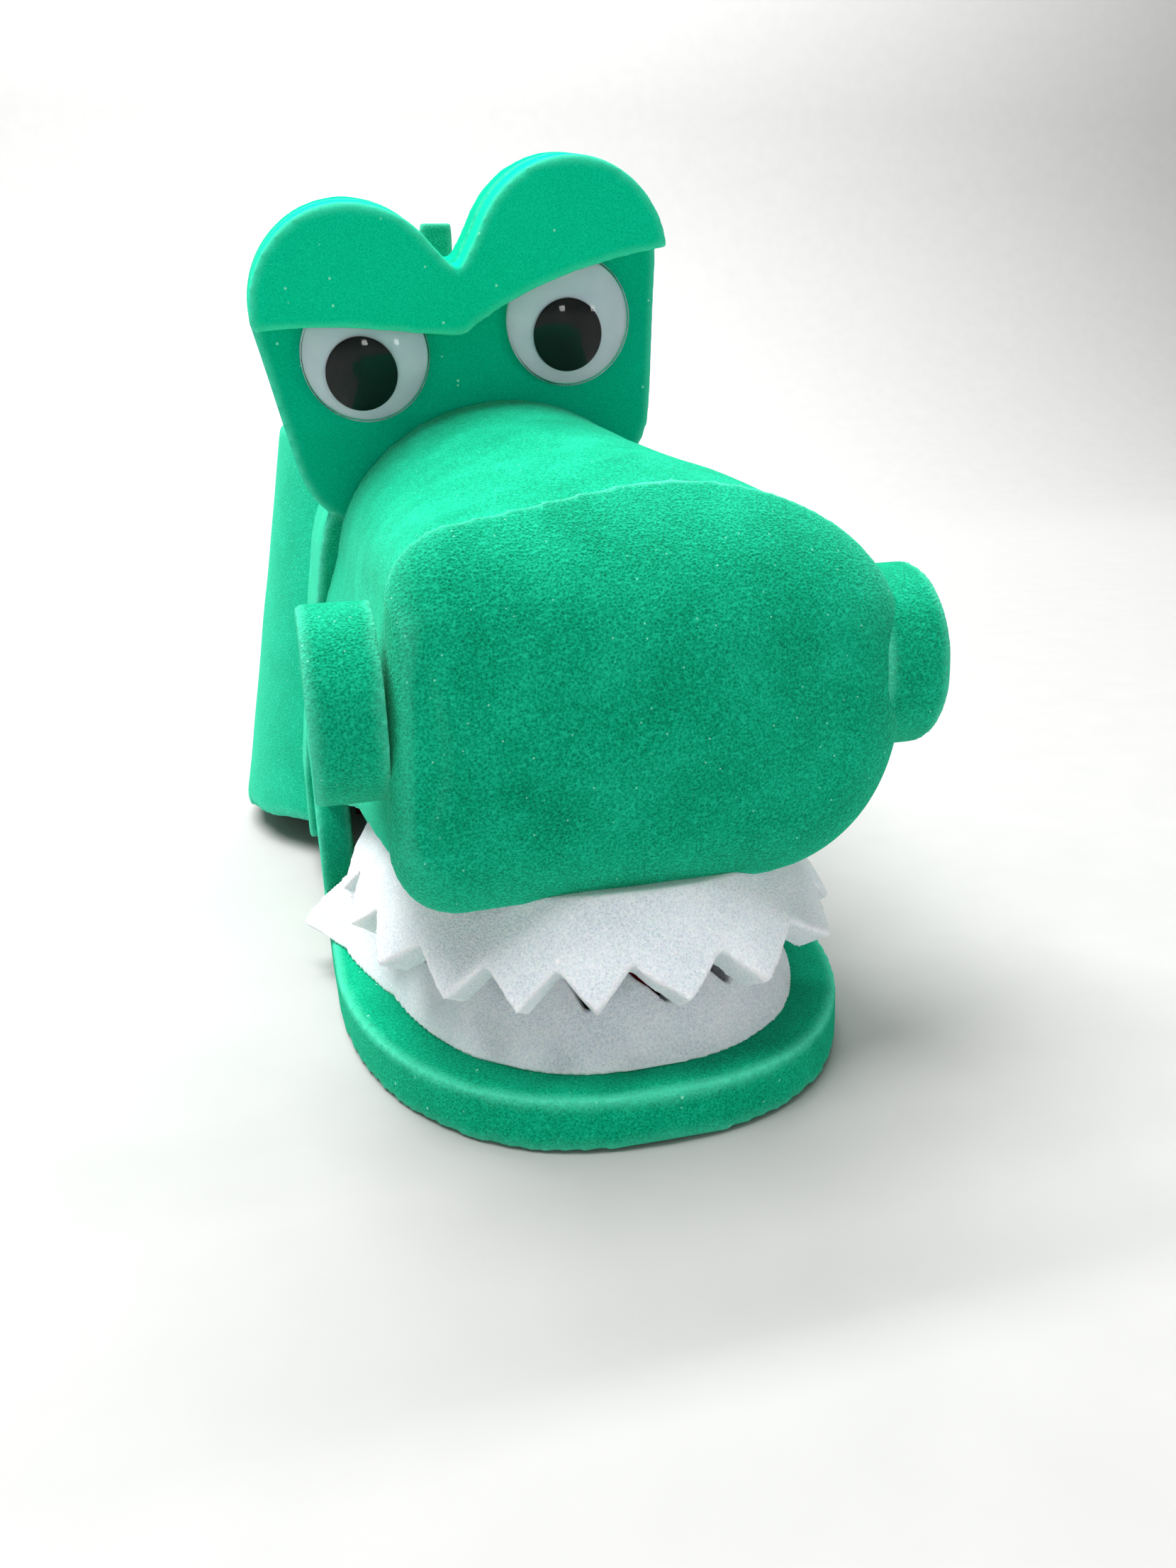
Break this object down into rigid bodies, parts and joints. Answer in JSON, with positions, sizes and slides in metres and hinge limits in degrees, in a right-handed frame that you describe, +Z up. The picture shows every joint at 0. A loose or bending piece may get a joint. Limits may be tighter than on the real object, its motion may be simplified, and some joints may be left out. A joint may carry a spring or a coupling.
{
  "type": "moving mouth hand puppet",
  "caption": "Green foam hand puppet with a box snout, zigzag teeth in a hinged mouth, round nostrils, googly eyes under a heart brow, and an upright neck sleeve for the arm.",
  "frame": {"origin": "middle of the puppet's bounding box, on the table that the neck sleeve and the jaw stand on", "axes": "+Z up, the face looks along -Y, +X to the right when seen from in front; the length runs along Y"},
  "size_m": [0.2058, 0.4318, 0.2493],
  "materials": {
    "green_foam": "matte",
    "deep_green_foam": "matte",
    "white_foam": "matte",
    "mouth_lining": "matte",
    "stiff_board": "matte",
    "webbing": "matte",
    "eye_white": "gloss",
    "eye_clear": "gloss",
    "pupil_black": "gloss"
  },
  "bodies": {
    "head": {"neck_sleeve": "green_foam", "crown": "green_foam", "head_tube": "green_foam", "eye_board": "green_foam", "snout_cover": "green_foam", "snout_front_pad": "green_foam", "left_nostril": "green_foam", "right_nostril": "green_foam", "brow": "deep_green_foam", "crown_crest": "deep_green_foam", "back_crest": "deep_green_foam", "upper_teeth": "white_foam", "palate_lining": "mouth_lining", "mouth_fold": "mouth_lining", "palate_board": "stiff_board", "finger_strap": "webbing", "left_eye_back": "eye_white", "right_eye_back": "eye_white", "left_eye_dome": "eye_clear", "right_eye_dome": "eye_clear"},
    "jaw": {"jaw_plate": "deep_green_foam", "left_jaw_cheek": "deep_green_foam", "right_jaw_cheek": "deep_green_foam", "lower_teeth": "white_foam", "jaw_board": "stiff_board", "jaw_lining": "mouth_lining"},
    "left_pupil": {"left_pupil": "pupil_black"},
    "right_pupil": {"right_pupil": "pupil_black"}
  },
  "joints": [
    {"name": "mouth_hinge", "type": "hinge", "parent": "head", "child": "jaw", "pos_m": [0, -0.02391, 0.036], "axis": [1, 0, 0], "range_deg": [0, 35], "stiffness_Nm_per_rad": 0.35},
    {"name": "left_pupil_roll", "type": "hinge", "parent": "head", "child": "left_pupil", "pos_m": [-0.04313, -0.05471, 0.19055], "axis": [0, -0.9703, -0.2419], "continuous": true},
    {"name": "right_pupil_roll", "type": "hinge", "parent": "head", "child": "right_pupil", "pos_m": [0.02203, -0.05692, 0.19944], "axis": [0, -0.9703, -0.2419], "continuous": true}
  ]
}
